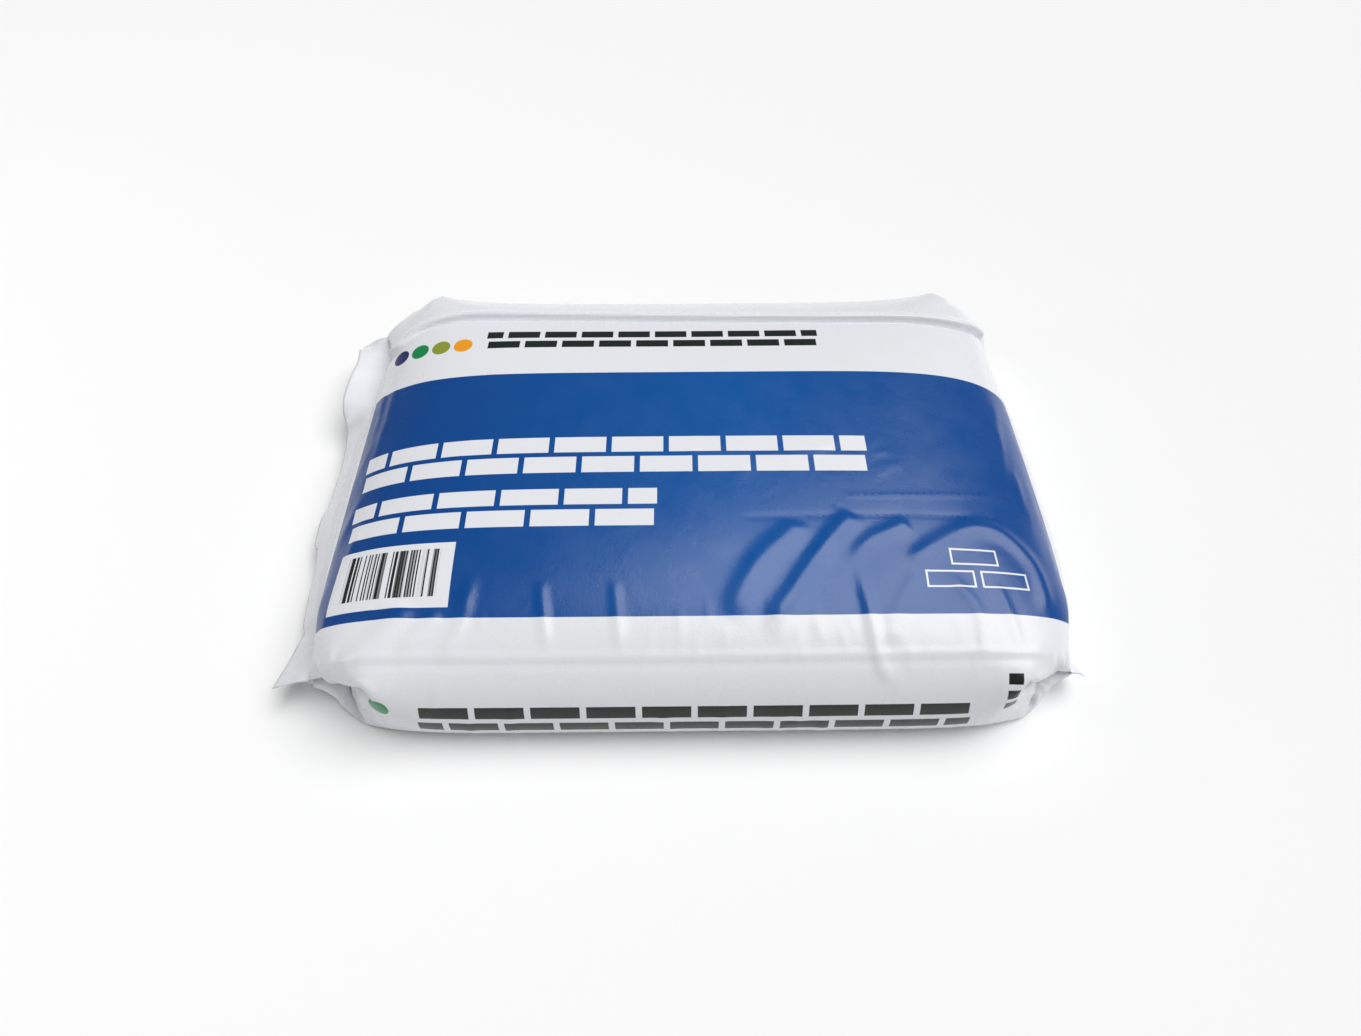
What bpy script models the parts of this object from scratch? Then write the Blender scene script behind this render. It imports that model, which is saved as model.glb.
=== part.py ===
"""A 25 kg bag of sand cement mix lying flat: a welded film sack and the mix inside it.

Metres, +Z up. X runs along the bag from weld to weld, and the bag rests on z = 0.
The sack is a side-gusseted film tube. Away from the ends its gussets bulge out, and
near each weld they fold in between the panels and leave a pocket at every corner.
"""

import math

import bmesh
import bpy

# The film tube, measured flat.
PANEL_WIDTH = 0.336
GUSSET_DEPTH = 0.048
PANEL_STEPS = 21
GUSSET_STEPS = 3
PANEL_HALF = PANEL_WIDTH / 2
FOLD_FLAT_Y = PANEL_HALF - GUSSET_DEPTH

# The filled shape.
CROWN_HEIGHT = 0.0905
CREASE_HEIGHT = 0.0705
BULGE_WIDTH = 0.3945
WELD_HEIGHT = 0.032
WELD_CORNER_X = 0.2683
WELD_FOLD_X = 0.2540
WELD_MIDDLE_X = 0.2618

# How each part of the section grows with the distance from its weld.
CROWN_REACH = 0.200
CROWN_EASE = 3.0
CROWN_ROUNDNESS = 0.50
CROWN_POWER = 3.4
CREASE_REACH = 0.055
BASE_REACH = 0.026
BASE_CORNER_REACH = 0.034
BASE_CORNER_POWER = 6
FOLD_REACH = 0.085
FOLD_EASE = 2.2
FOLD_ROUNDNESS = 0.75
BULGE_START = 0.038
BULGE_LENGTH = 0.024
BULGE_ARC = math.radians(78)
WELD_BOW_POWER = 4

# Film, fins and vent.
FILM_WALL = 0.0003
FILL_GAP = 0.0003
FILL_END_GAP = 0.0057
FILL_CUT_WIDTH = 0.21
SEAM_HALF = 0.0006
FIN_THICKNESS = 0.0006
FIN_ROOT = 0.0028
FIN_BEND = 0.0010
FIN_HALF_WIDTH = PANEL_HALF - 0.001
FIN_STEPS = 18
LEFT_FIN_LENGTH = 0.027
LEFT_FIN_DROOP = math.radians(36)
RIGHT_FIN_LENGTH = 0.024
RIGHT_FIN_DROOP = math.radians(66)
FIN_CORNER = 0.010
VENT_RADIUS = 0.0012
VENT_LENGTH = 0.006
VENT_SIDES = 12

# Distances from the weld at which the section is drawn, from a weld to the middle.
DEPTHS = (0.0, 0.001, 0.004, 0.009, 0.016, 0.025, 0.036, 0.048, 0.062, 0.082, 0.112, 0.150, 0.200)


def clear_scene():
    """Remove every object of the startup scene."""
    for item in list(bpy.data.objects):
        bpy.data.objects.remove(item, do_unlink=True)


def make_material(name, colour, roughness):
    """A plain Principled material in linear colour."""
    material = bpy.data.materials.new(name)
    material.use_nodes = True
    shader = material.node_tree.nodes["Principled BSDF"]
    shader.inputs["Base Color"].default_value = (*colour, 1.0)
    shader.inputs["Roughness"].default_value = roughness
    shader.inputs["Metallic"].default_value = 0.0
    return material


def blend(first, second, share):
    """The value that lies the given share of the way from first to second."""
    return first + (second - first) * share


def smooth_share(value):
    """A share from 0 to 1 that starts and ends level."""
    share = min(max(value, 0.0), 1.0)
    return share * share * (3 - 2 * share)


def weld_x(flat_y):
    """How far out the weld lies at this place across the flattened tube."""
    across = abs(flat_y)
    if across > FOLD_FLAT_Y:
        return blend(WELD_FOLD_X, WELD_CORNER_X, (across - FOLD_FLAT_Y) / GUSSET_DEPTH)
    return blend(WELD_MIDDLE_X, WELD_FOLD_X, (across / FOLD_FLAT_Y) ** WELD_BOW_POWER)


def rising_share(depth, reach, ease, roundness):
    """A share that rises steeply at the weld and levels out at its reach."""
    left = max(1 - depth / reach, 0.0)
    return (1 - left ** ease) ** roundness


def base_height(depth, flat_y):
    """Height of the bottom panel, which clears the floor next to the weld."""
    lift = max(1 - depth / BASE_REACH, 0.0)
    middle = 1 - math.sqrt(1 - lift * lift)
    corner = max(1 - depth / BASE_CORNER_REACH, 0.0)
    share = blend(middle, corner, abs(flat_y / PANEL_HALF) ** BASE_CORNER_POWER)
    return (WELD_HEIGHT - SEAM_HALF) * share


def section_corners(depth):
    """Crown, creases, fold and bulge of the section at this distance from the weld."""
    start = WELD_HEIGHT + SEAM_HALF
    crease_share = math.sin(math.pi / 2 * min(depth / CREASE_REACH, 1.0))
    crown_share = rising_share(depth, CROWN_REACH, CROWN_EASE, CROWN_ROUNDNESS)
    fold_share = rising_share(depth, FOLD_REACH, FOLD_EASE, FOLD_ROUNDNESS)
    return {
        "depth": depth,
        "crown": blend(start, CROWN_HEIGHT, crown_share),
        "top": (PANEL_HALF, blend(start, CREASE_HEIGHT, crease_share)),
        "bottom": (PANEL_HALF, base_height(depth, PANEL_HALF)),
        "fold": (blend(FOLD_FLAT_Y, BULGE_WIDTH / 2, fold_share), WELD_HEIGHT),
        "bulge": smooth_share((depth - BULGE_START) / BULGE_LENGTH),
    }


def panel_point(panel, flat_y, corners):
    """A point of the top or bottom panel as (y, z)."""
    if panel == "bottom":
        return flat_y, base_height(corners["depth"], flat_y)
    rise = 1 - abs(flat_y / PANEL_HALF) ** CROWN_POWER
    return flat_y, blend(corners["top"][1], corners["crown"], rise)


def gusset_point(share, corners):
    """A point of the back gusset as (y, z), from the top crease (0) to the bottom one (1)."""
    edge_y, edge_z = corners["top"] if share < 0.5 else corners["bottom"]
    fold_y, fold_z = corners["fold"]
    inward = 1 - abs(2 * share - 1)
    folded_y = blend(edge_y, fold_y, inward)
    folded_z = blend(edge_z, fold_z, inward)
    turn = BULGE_ARC * (1 - 2 * share)
    chord_y = blend(corners["top"][0], corners["bottom"][0], share)
    out = (math.cos(turn) - math.cos(BULGE_ARC)) / (1 - math.cos(BULGE_ARC))
    round_y = blend(chord_y, fold_y, out)
    upward = (1 + math.sin(turn) / math.sin(BULGE_ARC)) / 2
    round_z = blend(corners["bottom"][1], corners["top"][1], upward)
    return blend(folded_y, round_y, corners["bulge"]), blend(folded_z, round_z, corners["bulge"])


def fin_places():
    """Places across the flattened tube at which a fin is drawn."""
    return [FIN_HALF_WIDTH * (2 * step / FIN_STEPS - 1) for step in range(FIN_STEPS + 1)]


def fin_edge(y, length, droop):
    """The outer edge of a fin as (distance from the bag's middle, height)."""
    from_side = FIN_HALF_WIDTH - abs(y)
    rounding = FIN_CORNER * max(1 - from_side / FIN_CORNER, 0.0) ** 2
    out = length - rounding
    return weld_x(y) + out * math.cos(droop), WELD_HEIGHT - out * math.sin(droop)


def fin_reach(length, droop):
    """How far a fin's outer corner reaches from the bag's middle."""
    lean = FIN_THICKNESS / 2 * math.sin(droop)
    return lean + max(fin_edge(y, length, droop)[0] for y in fin_places())


def centre_shift():
    """How far the bag moves along X so that its whole length, fins included, is centred."""
    left = fin_reach(LEFT_FIN_LENGTH, LEFT_FIN_DROOP)
    right = fin_reach(RIGHT_FIN_LENGTH, RIGHT_FIN_DROOP)
    return (left - right) / 2


def film_columns():
    """The columns of film once round the tube, from the front top crease over the top.

    Each is (panel, place, flat y): place is the flat y on a panel and the share from the
    top crease on a gusset.
    """
    pitch = PANEL_WIDTH / PANEL_STEPS
    across = [pitch * step - PANEL_HALF for step in range(PANEL_STEPS)]
    shares = [step / (2 * GUSSET_STEPS) for step in range(2 * GUSSET_STEPS)]
    columns = [("top", y, y) for y in across]
    for share in shares:
        columns.append(("back", share, PANEL_HALF - GUSSET_DEPTH * (1 - abs(2 * share - 1))))
    columns += [("bottom", -y, -y) for y in across]
    for share in shares:
        columns.append(("front", 1 - share, GUSSET_DEPTH * (1 - abs(2 * share - 1)) - PANEL_HALF))
    return columns


def film_rows(first_row):
    """Rows of points round the film from the left weld to the right one."""
    shares = [depth / WELD_MIDDLE_X - 1 for depth in DEPTHS[first_row:]]
    shares += [0.0] + [-share for share in reversed(shares)]
    shift = centre_shift()
    rows = []
    for share in shares:
        row = []
        for panel, place, flat_y in film_columns():
            reach = weld_x(flat_y)
            corners = section_corners(reach * (1 - abs(share)))
            if panel in ("top", "bottom"):
                y, z = panel_point(panel, place, corners)
            else:
                y, z = gusset_point(place, corners)
                y = y if panel == "back" else -y
            row.append((share * reach + shift, y, z))
        rows.append(row)
    return rows


def end_cap(count):
    """Triangles that close an end row, between columns that meet when the tube is flat."""
    back_top = PANEL_STEPS
    back_bottom = back_top + 2 * GUSSET_STEPS
    front_bottom = back_bottom + PANEL_STEPS
    faces = []
    for crease in (0, back_top, back_bottom, front_bottom):
        for near in range(GUSSET_STEPS):
            far = near + 1
            face = [crease - near, crease + near, crease + far, crease - far]
            faces.append(list(dict.fromkeys(index % count for index in face)))
    first = GUSSET_STEPS
    last = PANEL_STEPS - GUSSET_STEPS - 1
    for top in range(first, last + 1):
        face = [top, top + 1, front_bottom - top - 1, front_bottom - top]
        if top == first:
            face.insert(0, front_bottom + GUSSET_STEPS)
        if top == last:
            face = [back_top + GUSSET_STEPS] + face[2:] + face[:2]
        faces.append(face)
    return [(face[0], face[k], face[k + 1]) for face in faces for k in range(1, len(face) - 1)]


def loft(name, rows):
    """A closed solid through the rows, as a new object.

    Its walls are triangles, so that two lofts of the same rows bend along the same diagonals.
    """
    mesh = bmesh.new()
    grid = [[mesh.verts.new(point) for point in row] for row in rows]
    count = len(grid[0])
    for row, following in zip(grid, grid[1:]):
        for column in range(count):
            ahead = (column + 1) % count
            mesh.faces.new((row[column], row[ahead], following[ahead]))
            mesh.faces.new((row[column], following[ahead], following[column]))
    for row in (grid[0], grid[-1]):
        for face in end_cap(count):
            mesh.faces.new([row[index] for index in face])
    bmesh.ops.recalc_face_normals(mesh, faces=mesh.faces)
    return add_object(name, mesh)


def add_object(name, mesh):
    """Turn a bmesh into an object of the scene."""
    data = bpy.data.meshes.new(name)
    mesh.to_mesh(data)
    mesh.free()
    item = bpy.data.objects.new(name, data)
    bpy.context.scene.collection.objects.link(item)
    return item


def fin_rows(side, length, droop):
    """Root, bend and edge points of one fin, across the flattened tube."""
    shift = centre_shift()
    rows = []
    for y in fin_places():
        root = (weld_x(y) - FIN_ROOT, WELD_HEIGHT)
        bend = (weld_x(y) + FIN_BEND, WELD_HEIGHT)
        stations = (root, bend, fin_edge(y, length, droop))
        rows.append([(side * x + shift, y, z) for x, z in stations])
    return rows


def make_fin(name, side, length, droop):
    """The flat fin of film past a weld, as a slab that overlaps the end of the sack."""
    mesh = bmesh.new()
    lean = (math.sin(droop) * FIN_THICKNESS / 2, math.cos(droop) * FIN_THICKNESS / 2)
    layers = []
    for up in (1, -1):
        layer = []
        for row in fin_rows(side, length, droop):
            root, bend, edge = row
            raised = (edge[0] + side * up * lean[0], edge[1], edge[2] + up * lean[1])
            points = [(x, y, z + up * FIN_THICKNESS / 2) for x, y, z in (root, bend)] + [raised]
            layer.append([mesh.verts.new(point) for point in points])
        layers.append(layer)
    upper, lower = layers
    last = len(upper) - 1
    for index in range(last):
        for layer in layers:
            near, far = layer[index], layer[index + 1]
            for station in range(2):
                mesh.faces.new((near[station], near[station + 1], far[station + 1], far[station]))
        for station in (0, 2):
            mesh.faces.new((upper[index][station], upper[index + 1][station],
                            lower[index + 1][station], lower[index][station]))
    for index in (0, last):
        for station in range(2):
            mesh.faces.new((upper[index][station], upper[index][station + 1],
                            lower[index][station + 1], lower[index][station]))
    bmesh.ops.recalc_face_normals(mesh, faces=mesh.faces)
    return add_object(name, mesh)


def make_vent_cutter():
    """A short round punch through the back gusset, over the middle of the bag."""
    mesh = bmesh.new()
    bmesh.ops.create_cone(mesh, cap_ends=True, segments=VENT_SIDES, radius1=VENT_RADIUS,
                          radius2=VENT_RADIUS, depth=VENT_LENGTH)
    cutter = add_object("vent_cutter", mesh)
    cutter.rotation_euler = (math.pi / 2, 0, 0)
    cutter.location = (centre_shift(), BULGE_WIDTH / 2, WELD_HEIGHT)
    return cutter


def hide_cutter(item):
    """Keep a tool shape out of the model."""
    item.hide_render = True
    item.display_type = "WIRE"


def add_boolean(item, tool, operation):
    """Join or cut with another object."""
    modifier = item.modifiers.new(operation.title(), "BOOLEAN")
    modifier.operation = operation
    modifier.object = tool
    hide_cutter(tool)


def make_inner(name, inset):
    """The sack's own shape between its welds, drawn in by an inset all round."""
    inner = loft(name, film_rows(1))
    shrink = inner.modifiers.new("Inset", "DISPLACE")
    shrink.mid_level = 0.0
    shrink.strength = -inset
    return inner


def make_film_sack():
    """The film tube with both welded fins, hollow, with its vent."""
    sack = loft("film_sack", film_rows(0))
    add_boolean(sack, make_fin("left_fin_tool", -1, LEFT_FIN_LENGTH, LEFT_FIN_DROOP), "UNION")
    add_boolean(sack, make_fin("right_fin_tool", 1, RIGHT_FIN_LENGTH, RIGHT_FIN_DROOP), "UNION")
    add_boolean(sack, make_inner("cavity_cutter", FILM_WALL), "DIFFERENCE")
    add_boolean(sack, make_vent_cutter(), "DIFFERENCE")
    sack.data.materials.append(make_material("white_polyethylene_film", (0.75, 0.78, 0.82), 0.30))
    return sack


def make_end_cutter(name, side):
    """A block past the fill's end, whose inner face follows the weld."""
    mesh = bmesh.new()
    wider = FILL_CUT_WIDTH / FIN_HALF_WIDTH
    shift = centre_shift()
    outline = [(side * (weld_x(y * wider) - FILL_END_GAP) + shift, y * wider) for y in fin_places()]
    far = side * 2 * WELD_CORNER_X
    outline += [(far, FILL_CUT_WIDTH), (far, -FILL_CUT_WIDTH)]
    corners = [mesh.verts.new((x, y, -CROWN_HEIGHT)) for x, y in outline]
    bottom = mesh.faces.new(corners)
    raised = bmesh.ops.extrude_face_region(mesh, geom=[bottom])["geom"]
    lifted = [item for item in raised if isinstance(item, bmesh.types.BMVert)]
    bmesh.ops.translate(mesh, verts=lifted, vec=(0, 0, 3 * CROWN_HEIGHT))
    bmesh.ops.recalc_face_normals(mesh, faces=mesh.faces)
    return add_object(name, mesh)


def make_fill():
    """The dry mix, in the shape that the sack gives it, just short of the welds."""
    fill = make_inner("sand_cement_mix", FILM_WALL + FILL_GAP)
    add_boolean(fill, make_end_cutter("left_end_cutter", -1), "DIFFERENCE")
    add_boolean(fill, make_end_cutter("right_end_cutter", 1), "DIFFERENCE")
    fill.data.materials.append(make_material("sand_cement_mix", (0.36, 0.34, 0.31), 0.95))
    return fill


def main():
    """Build the bag."""
    clear_scene()
    make_film_sack()
    make_fill()


main()
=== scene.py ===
"""A filled bag of sand cement mix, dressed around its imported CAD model.

Metres, +Z up, in the frame of the CAD model. The film's shape is found by laying an
inextensible film tube round the mix, and its print is drawn by the film's own flat
measurements.
"""

import logging
import math
from dataclasses import dataclass
from enum import Enum

import bmesh
import bpy
import numpy as np
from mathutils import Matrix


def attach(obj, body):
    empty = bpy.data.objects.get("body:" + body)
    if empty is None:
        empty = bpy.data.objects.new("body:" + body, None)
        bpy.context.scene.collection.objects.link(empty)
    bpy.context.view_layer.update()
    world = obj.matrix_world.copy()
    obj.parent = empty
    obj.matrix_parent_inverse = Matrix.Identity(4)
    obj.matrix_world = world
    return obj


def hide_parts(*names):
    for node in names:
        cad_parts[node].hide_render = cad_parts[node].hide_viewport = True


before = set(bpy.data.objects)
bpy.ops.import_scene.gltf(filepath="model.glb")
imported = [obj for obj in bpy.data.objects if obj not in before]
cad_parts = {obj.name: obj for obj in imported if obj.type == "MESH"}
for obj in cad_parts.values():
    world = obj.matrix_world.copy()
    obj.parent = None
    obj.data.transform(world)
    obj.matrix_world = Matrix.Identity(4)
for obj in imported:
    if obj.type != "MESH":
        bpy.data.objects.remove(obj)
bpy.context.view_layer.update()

LOG = logging.getLogger("bag")
MM = 0.001


def linear_colour(code: str) -> tuple[float, float, float, float]:
    """Turn an sRGB hex colour into linear light.

    Args:
        code: Six hex digits after a hash sign.

    Returns:
        Linear red, green, blue and an alpha of one.
    """
    parts = [int(code[k:k + 2], 16) / 255 for k in (1, 3, 5)]
    return (*[p / 12.92 if p <= 0.04045 else ((p + 0.055) / 1.055) ** 2.4 for p in parts], 1.0)


def add_node(tree: bpy.types.NodeTree, kind: str, links: dict | None = None, **settings) -> bpy.types.Node:
    """Add one node with its settings and its inputs.

    Args:
        tree: The tree that the node goes in.
        kind: The node's type.
        links: For each input, by name or number, a value or the socket that feeds it.
        settings: Properties of the node itself.

    Returns:
        The new node.
    """
    node = tree.nodes.new(kind)
    for name, value in settings.items():
        setattr(node, name, value)
    for socket, source in (links or {}).items():
        if isinstance(source, bpy.types.NodeSocket):
            tree.links.new(source, node.inputs[socket])
        else:
            node.inputs[socket].default_value = source
    return node


class Panel(Enum):
    """The parts of the tube, in the order in which the film runs round it."""

    TOP = "top"
    BACK_UPPER = "upper half of the back gusset"
    BACK_LOWER = "lower half of the back gusset"
    BOTTOM = "bottom"
    FRONT_LOWER = "lower half of the front gusset"
    FRONT_UPPER = "upper half of the front gusset"

    @property
    def is_flat(self) -> bool:
        """True for the two wide panels, false for a half gusset."""
        return self in (Panel.TOP, Panel.BOTTOM)


@dataclass(frozen=True)
class FilmTube:
    """The side-gusseted film tube, measured flat."""

    width: float = 0.336
    gusset: float = 0.048
    length: float = 0.560

    @property
    def girth(self) -> float:
        """Once round the tube."""
        return sum(self.breadth(panel) for panel in Panel)

    def breadth(self, panel: Panel) -> float:
        """How much of the girth a panel takes."""
        return self.width if panel.is_flat else self.gusset


@dataclass
class FilmSolver:
    """Lays an inextensible film tube round a given volume of mix on a flat floor.

    The grid holds one point for each pitch of film, rows from the left weld to the right
    one and columns once round the tube from the front top crease.
    """

    tube: FilmTube
    pitch: float
    volume: float = 0.0152
    roll: float = 0.0
    push: float = 0.00015
    damping: float = 0.85
    friction: float = 0.3
    squeeze: float = 0.1
    shear: float = 0.3
    bending: float = 0.02
    sweeps: int = 12
    layer_gap: float = 0.0006
    pressure: float = 0.0
    points: np.ndarray | None = None
    speed: np.ndarray | None = None
    before: np.ndarray | None = None

    def __post_init__(self) -> None:
        """Count the grid and find which columns meet in a weld."""
        self.across = round(self.tube.width / self.pitch)
        self.deep = round(self.tube.gusset / self.pitch)
        self.long = round(self.tube.length / self.pitch)
        flat, layer = self.flat_columns()
        key = np.round(flat / self.pitch * 2).astype(int)
        _, self.meets, self.met = np.unique(key, return_inverse=True, return_counts=True)
        self.columns = len(flat)
        if self.points is None:
            self.points = self.first_shape(flat, layer)
        self.speed = np.zeros_like(self.points)

    def flat_columns(self) -> tuple[np.ndarray, np.ndarray]:
        """Where each column lies in the flattened tube.

        Returns:
            The place across the flat tube and the layer, from 3 on top to -3 underneath.
        """
        half = self.tube.width / 2
        step = np.arange(self.across) * self.pitch
        fold = np.arange(self.deep) * self.pitch
        part = np.arange(self.deep) / self.deep
        inner = half - self.tube.gusset
        flat = [step - half, half - fold, inner + fold, half - step, fold - half, -inner - fold]
        layer = [step * 0 + 3, 3 - 2 * part, -1 - 2 * part, step * 0 - 3, 2 * part - 3, 1 + 2 * part]
        return np.concatenate(flat), np.concatenate(layer)

    def first_shape(self, flat: np.ndarray, layer: np.ndarray) -> np.ndarray:
        """A rough inflated tube to start from.

        Args:
            flat: The place of each column across the flat tube.
            layer: The layer of each column in the flat tube.

        Returns:
            The grid of points.
        """
        half_width, half_height, power = 0.185, 0.046, 3.0
        weld_height, layer_step, shrink = 0.035, 0.0004, 0.97
        turn = np.linspace(0, 2 * np.pi, 4001)
        oval_y = half_width * np.sign(np.cos(turn)) * np.abs(np.cos(turn)) ** (2 / power)
        oval_z = half_height * np.sign(np.sin(turn)) * np.abs(np.sin(turn)) ** (2 / power)
        arc = np.concatenate([[0], np.cumsum(np.hypot(np.diff(oval_y), np.diff(oval_z)))])
        upper = np.where(oval_z > 0)[0]
        crease = upper[np.argmin(np.abs(oval_y[upper] + self.tube.width / 2 * 0.975))]
        places = arc[crease] - np.arange(self.columns) / self.columns * arc[-1] - self.roll
        middle_y = np.interp(places % arc[-1], arc, oval_y)
        middle_z = np.interp(places % arc[-1], arc, oval_z) + half_height
        along = np.linspace(-self.tube.length / 2, self.tube.length / 2, self.long + 1)
        depth = self.tube.length / 2 - np.abs(along)
        opening = np.clip(depth / 0.10, 0, 1)[:, None]
        opening = opening * opening * (3 - 2 * opening)
        rise = np.sqrt(1 - (1 - np.clip(depth / 0.09, 0, 1)[:, None]) ** 2)
        grid = np.zeros((self.long + 1, self.columns, 3))
        grid[..., 0] = along[:, None] * shrink
        grid[..., 1] = flat + (middle_y - flat) * opening
        grid[..., 2] = weld_height + (middle_z - weld_height) * rise + layer * layer_step * (1 - rise)
        return grid

    @staticmethod
    def pull(first: np.ndarray, second: np.ndarray, rest: float, stretch: float, squeeze: float) -> None:
        """Bring pairs of points back to their distance.

        Args:
            first: Points at one end of each pair, changed in place.
            second: Points at the other end, changed in place.
            rest: The distance that the film keeps between them.
            stretch: How much of a lengthening is taken back.
            squeeze: How much of a shortening is taken back.
        """
        gap = second - first
        size = np.sqrt((gap * gap).sum(-1))
        change = size - rest
        share = np.where(change > 0, stretch, squeeze) * 0.5 * change / np.maximum(size, 1e-9)
        gap *= share[..., None]
        first += gap
        second -= gap

    def hold_lengths(self) -> None:
        """One sweep over the film's lengths, girths, diagonals and bends."""
        grid, pitch = self.points, self.pitch
        for start in (0, 1):
            stop = start + 2 * ((len(grid) - start) // 2)
            self.pull(grid[start:stop:2], grid[start + 1:stop:2], pitch, 1.0, self.squeeze)
        self.pull(grid[:, 0::2], grid[:, 1::2], pitch, 1.0, self.squeeze)
        turned = np.roll(grid, -1, axis=1)
        self.pull(turned[:, 0::2], turned[:, 1::2], pitch, 1.0, self.squeeze)
        grid[:] = np.roll(turned, 1, axis=1)
        for start in (0, 1):
            stop = start + 2 * ((len(grid) - start) // 2)
            for side in (1, -1):
                near = grid[start:stop:2]
                far = np.roll(grid[start + 1:stop:2], -side, axis=1)
                self.pull(near, far, pitch * math.sqrt(2), self.shear, self.shear * self.squeeze)
                grid[start + 1:stop:2] = np.roll(far, side, axis=1)
        self.hold_bends()

    def hold_bends(self) -> None:
        """Keep points two pitches apart from folding together too easily."""
        grid, pitch = self.points, self.pitch
        count = len(grid)
        for start in range(4):
            rows = np.arange(start, count - 2, 4)
            rows = np.concatenate([rows, rows + 1])
            rows = rows[rows + 2 < count]
            near, far = grid[rows], grid[rows + 2]
            self.pull(near, far, 2 * pitch, 0.0, self.bending)
            grid[rows], grid[rows + 2] = near, far
        whole = self.columns // 4 * 4
        for start in (0, 1):
            turned = np.roll(grid, -2 * start, axis=1)
            for column in (0, 1):
                self.pull(turned[:, column:whole:4], turned[:, column + 2:whole:4],
                          2 * pitch, 0.0, self.bending)
            grid[:] = np.roll(turned, 2 * start, axis=1)

    def hold_welds(self) -> None:
        """Keep all layers of film together in both welds."""
        for row in (0, -1):
            total = np.zeros((len(self.met), 3))
            np.add.at(total, self.meets, self.points[row])
            self.points[row] = (total / self.met[:, None])[self.meets]

    def hold_contacts(self) -> None:
        """Keep the film on the floor, rubbing, and the halves of each gusset apart."""
        grid = self.points
        low = (grid[..., 2] < 0.0)[..., None] * self.friction
        grid[..., 2] = np.maximum(grid[..., 2], 0.0)
        grid[..., :2] += (self.before[..., :2] - grid[..., :2]) * low
        back, front = self.across, 2 * self.across + 2 * self.deep
        for crease in (back, front):
            for step in range(1, self.deep):
                upper = (crease + step) % self.columns
                lower = (crease + 2 * self.deep - step) % self.columns
                if crease == front:
                    upper, lower = lower, upper
                gap = grid[1:-1, upper, 2] - grid[1:-1, lower, 2]
                apart = np.where(gap < self.layer_gap, (self.layer_gap - gap) / 2, 0)
                grid[1:-1, upper, 2] += apart
                grid[1:-1, lower, 2] -= apart

    def normals(self) -> np.ndarray:
        """Outward area vectors of the film, of length one where it is unstretched."""
        grid = self.points
        along = np.empty_like(grid)
        along[1:-1] = grid[2:] - grid[:-2]
        along[0] = grid[1] - grid[0]
        along[-1] = grid[-1] - grid[-2]
        around = np.roll(grid, -1, axis=1) - np.roll(grid, 1, axis=1)
        return np.cross(along, around) / 4 / self.pitch ** 2

    def enclosed(self) -> float:
        """The volume inside the tube."""
        first, second = self.points[:-1], self.points[1:]
        third, fourth = np.roll(second, -1, axis=1), np.roll(first, -1, axis=1)
        return float((first * (np.cross(second, third) + np.cross(third, fourth))).sum() / 6)

    def settle(self, steps: int) -> None:
        """Let the film find its shape.

        Args:
            steps: How many small moves it makes.
        """
        fastest, fill_depth = 0.004, 0.1
        for _ in range(steps):
            self.before = self.points.copy()
            inside, outward = self.enclosed(), self.normals()
            if inside < 0:
                inside, outward = -inside, -outward
            lack = (self.volume - inside) / self.volume
            self.pressure = float(np.clip(self.pressure + 0.3 * lack, -0.3, 3))
            below_top = self.points[..., 2].max() - self.points[..., 2]
            force = self.pressure + np.clip(15 * lack, -1, 1) + below_top / fill_depth
            move = outward * (force * self.push)[..., None]
            move[..., 2] -= self.push * 0.02
            self.speed = self.speed * self.damping + move
            size = np.sqrt((self.speed ** 2).sum(-1, keepdims=True))
            self.speed *= np.minimum(1, fastest / np.maximum(size, 1e-9))
            self.points = self.points + self.speed
            for _ in range(self.sweeps):
                self.hold_lengths()
                self.hold_welds()
                self.hold_contacts()
            self.speed = self.points - self.before

    def finer(self) -> "FilmSolver":
        """The same film on a grid of half the pitch."""
        rows = np.empty((2 * len(self.points) - 1, self.columns, 3))
        rows[0::2] = self.points
        rows[1::2] = (self.points[1:] + self.points[:-1]) / 2
        grid = np.empty((len(rows), 2 * self.columns, 3))
        grid[:, 0::2] = rows
        grid[:, 1::2] = (rows + np.roll(rows, -1, axis=1)) / 2
        return FilmSolver(self.tube, self.pitch / 2, self.volume, self.roll, push=self.push,
                          pressure=self.pressure, points=grid)


def cubic_places(values: np.ndarray, count: int) -> np.ndarray:
    """Resample points along the first axis on a smooth curve through them.

    Args:
        values: Points at equal steps.
        count: How many steps the result has.

    Returns:
        The result's points, with both ends kept.
    """
    padded = np.concatenate([2 * values[:1] - values[1:2], values, 2 * values[-1:] - values[-2:-1]])
    place = np.linspace(0, len(values) - 1, count + 1)
    cell = np.minimum(place.astype(int), len(values) - 2)
    t = (place - cell).reshape((-1,) + (1,) * (values.ndim - 1))
    p0, p1, p2, p3 = (padded[cell + k] for k in range(4))
    return p1 + 0.5 * t * (p2 - p0 + t * (2 * p0 - 5 * p1 + 4 * p2 - p3 + t * (3 * (p1 - p2) + p3 - p0)))


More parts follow.
